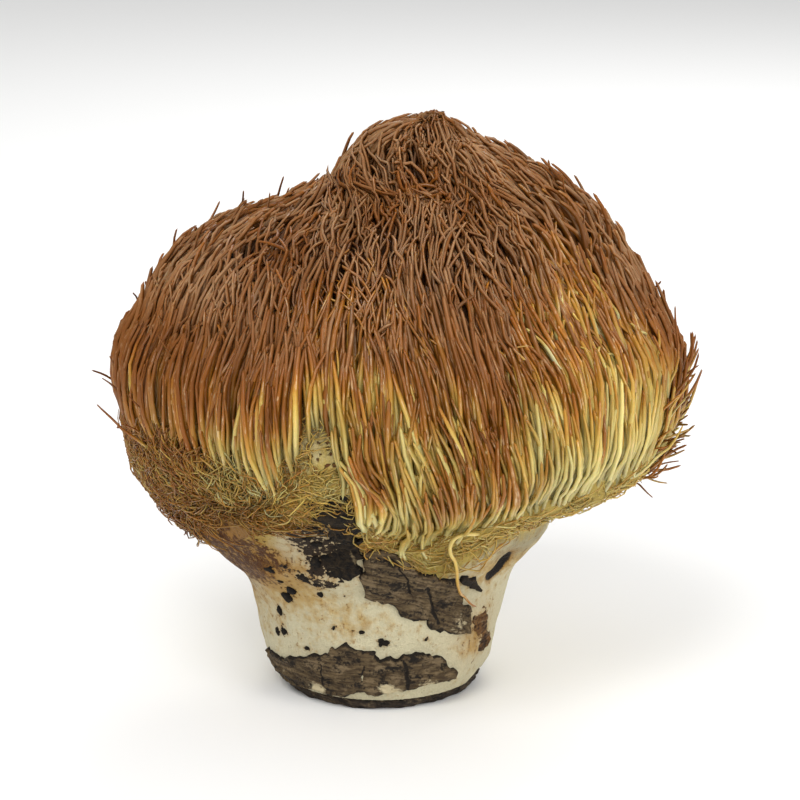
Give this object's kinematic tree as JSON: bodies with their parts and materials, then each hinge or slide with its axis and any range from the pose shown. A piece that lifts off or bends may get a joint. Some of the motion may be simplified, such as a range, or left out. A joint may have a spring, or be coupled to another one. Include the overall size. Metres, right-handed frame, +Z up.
{
  "type": "lion's mane mushroom",
  "caption": "Lion's mane mushroom standing on its cut stalk, with a thick shaggy coat of spines rising to a blunt peak and scraps of bark on the stalk.",
  "frame": {"origin": "middle of the flat cut face under the stalk, on which the mushroom rests", "axes": "+Z up from the cut face towards the peak of the spines, -Y towards the viewer of the picture, +X to the viewer's right"},
  "size_m": [0.1842, 0.1596, 0.1822],
  "materials": {
    "flesh": "matt, slightly waxy",
    "spines": "satin, waxy",
    "bark": "rough"
  },
  "bodies": {
    "root": {"mushroom": "flesh", "bark_foot": "bark", "bark_plate_low": "bark", "bark_plate_high": "bark", "bark_crust_neck": "bark", "bark_chip_side": "bark", "bark_sliver": "bark"}
  },
  "joints": []
}
